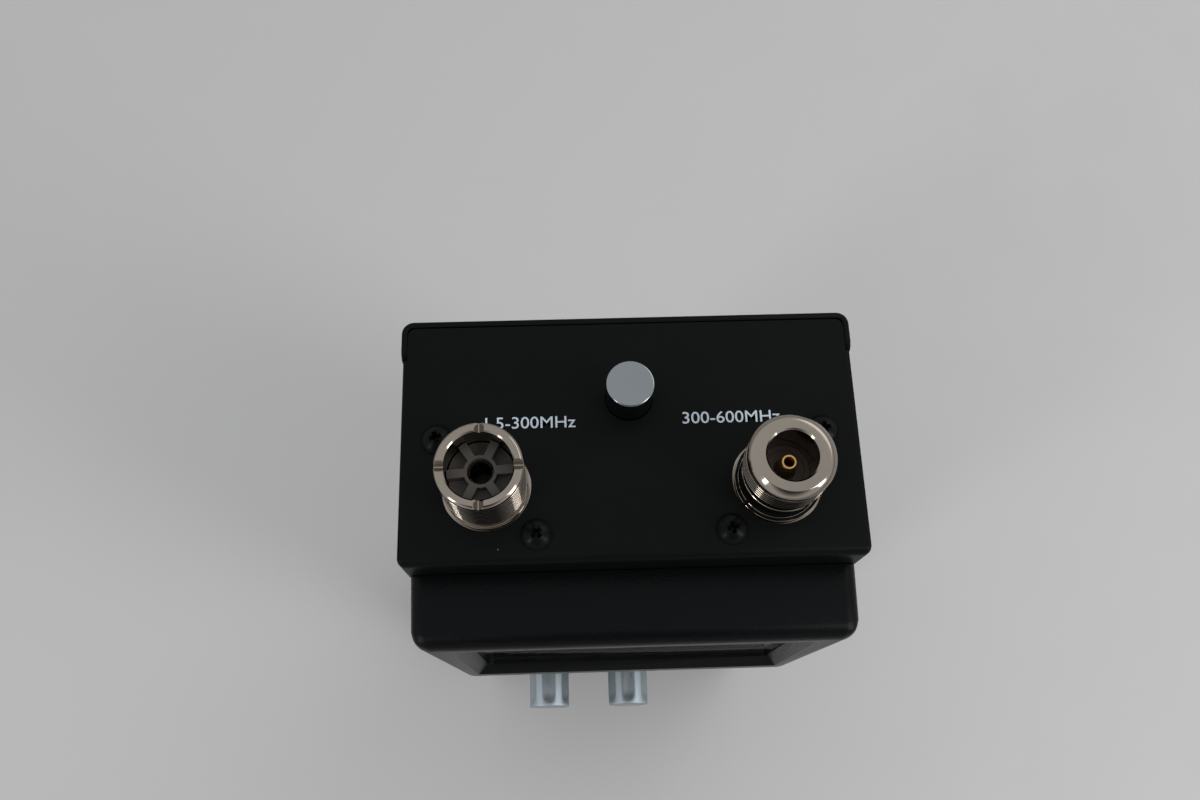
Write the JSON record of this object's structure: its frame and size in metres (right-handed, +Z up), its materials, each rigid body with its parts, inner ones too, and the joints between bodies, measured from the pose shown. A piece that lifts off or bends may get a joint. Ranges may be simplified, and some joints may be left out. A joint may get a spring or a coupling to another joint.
{
  "type": "antenna analyzer",
  "caption": "Handheld antenna analyzer: black steel case with threaded sockets and a push button on top, a cross-needle meter in front and turning knobs below.",
  "frame": {"origin": "middle of the flat bottom face of the case, which the analyzer stands on", "axes": "+Z up through the case towards the sockets, +X to the right of someone who faces the meter, +Y to the rear cover"},
  "size_m": [0.093, 0.0673, 0.2063],
  "materials": {
    "black_paint": "satin",
    "black_plastic": "satin",
    "black_screw": "satin",
    "steel": "plain",
    "clear_pane": "gloss",
    "dial_card": "matt",
    "needle_black": "matt",
    "dark_plastic": "matt",
    "display_glass": "gloss",
    "circuit_board": "satin",
    "knob_aluminium": "polished",
    "chrome": "mirror",
    "nickel": "bright nickel",
    "insulator_grey": "satin",
    "insulator_dark": "satin",
    "gold": "polished",
    "cell_sleeve": "gloss"
  },
  "bodies": {
    "analyzer": {"chassis_body": "black_paint", "rear_cover": "black_paint", "meter_housing": "black_plastic", "dc_jack": "black_plastic", "cover_screw_1": "black_screw", "cover_screw_2": "black_screw", "cover_screw_3": "black_screw", "cover_screw_4": "black_screw", "socket_screw_1": "black_screw", "socket_screw_2": "black_screw", "socket_screw_3": "black_screw", "socket_screw_4": "black_screw", "housing_screw_1": "steel", "housing_screw_2": "steel", "housing_screw_3": "steel", "housing_screw_4": "steel", "board_standoff_1": "steel", "board_standoff_2": "steel", "board_standoff_3": "steel", "board_standoff_4": "steel", "band_switch": "steel", "tuning_control": "steel", "band_nut": "steel", "tuning_nut": "steel", "switch_bracket": "steel", "rf_bracket_left": "steel", "rf_bracket_right": "steel", "meter_window": "clear_pane", "lcd_window": "clear_pane", "dial_plate": "dial_card", "meter_movement": "dark_plastic", "power_switch": "dark_plastic", "battery_holder": "dark_plastic", "lcd_module": "display_glass", "control_board": "circuit_board", "rf_board": "circuit_board", "uhf_shell": "nickel", "n_shell": "nickel", "uhf_contact": "nickel", "uhf_insulator": "insulator_grey", "n_insulator": "insulator_dark", "n_contact": "gold", "battery_1": "cell_sleeve", "battery_2": "cell_sleeve", "battery_3": "cell_sleeve", "battery_4": "cell_sleeve", "battery_5": "cell_sleeve", "battery_6": "cell_sleeve"},
    "power_button": {"power_button": "chrome", "power_plunger": "dark_plastic"},
    "band_knob": {"band_knob": "knob_aluminium", "band_shaft": "steel"},
    "tuning_knob": {"tuning_knob": "knob_aluminium", "tuning_shaft": "steel"},
    "forward_needle": {"forward_needle": "needle_black"},
    "reflected_needle": {"reflected_needle": "needle_black"}
  },
  "joints": [
    {"name": "power_button_press", "type": "slide", "parent": "analyzer", "child": "power_button", "axis": [0, 0, 1], "range_m": [-0.003, 0], "stiffness_N_per_m": 600, "springref_m": 0.002},
    {"name": "band_knob_turn", "type": "hinge", "parent": "analyzer", "child": "band_knob", "pos_m": [-0.02091, -0.03, 0.05501], "axis": [0, 1, 0], "range_deg": [-90, 90]},
    {"name": "tuning_knob_turn", "type": "hinge", "parent": "analyzer", "child": "tuning_knob", "pos_m": [0.00266, -0.03, 0.05501], "axis": [0, 1, 0], "range_deg": [-140, 140]},
    {"name": "forward_needle_swing", "type": "hinge", "parent": "analyzer", "child": "forward_needle", "pos_m": [0.02, -0.03, 0.1257], "axis": [0, 1, 0], "range_deg": [0, 65], "stiffness_Nm_per_rad": 0.0002, "springref_deg": -11.46},
    {"name": "reflected_needle_swing", "type": "hinge", "parent": "analyzer", "child": "reflected_needle", "pos_m": [-0.02, -0.03, 0.1257], "axis": [0, -1, 0], "range_deg": [0, 65], "stiffness_Nm_per_rad": 0.0002, "springref_deg": -11.46}
  ]
}
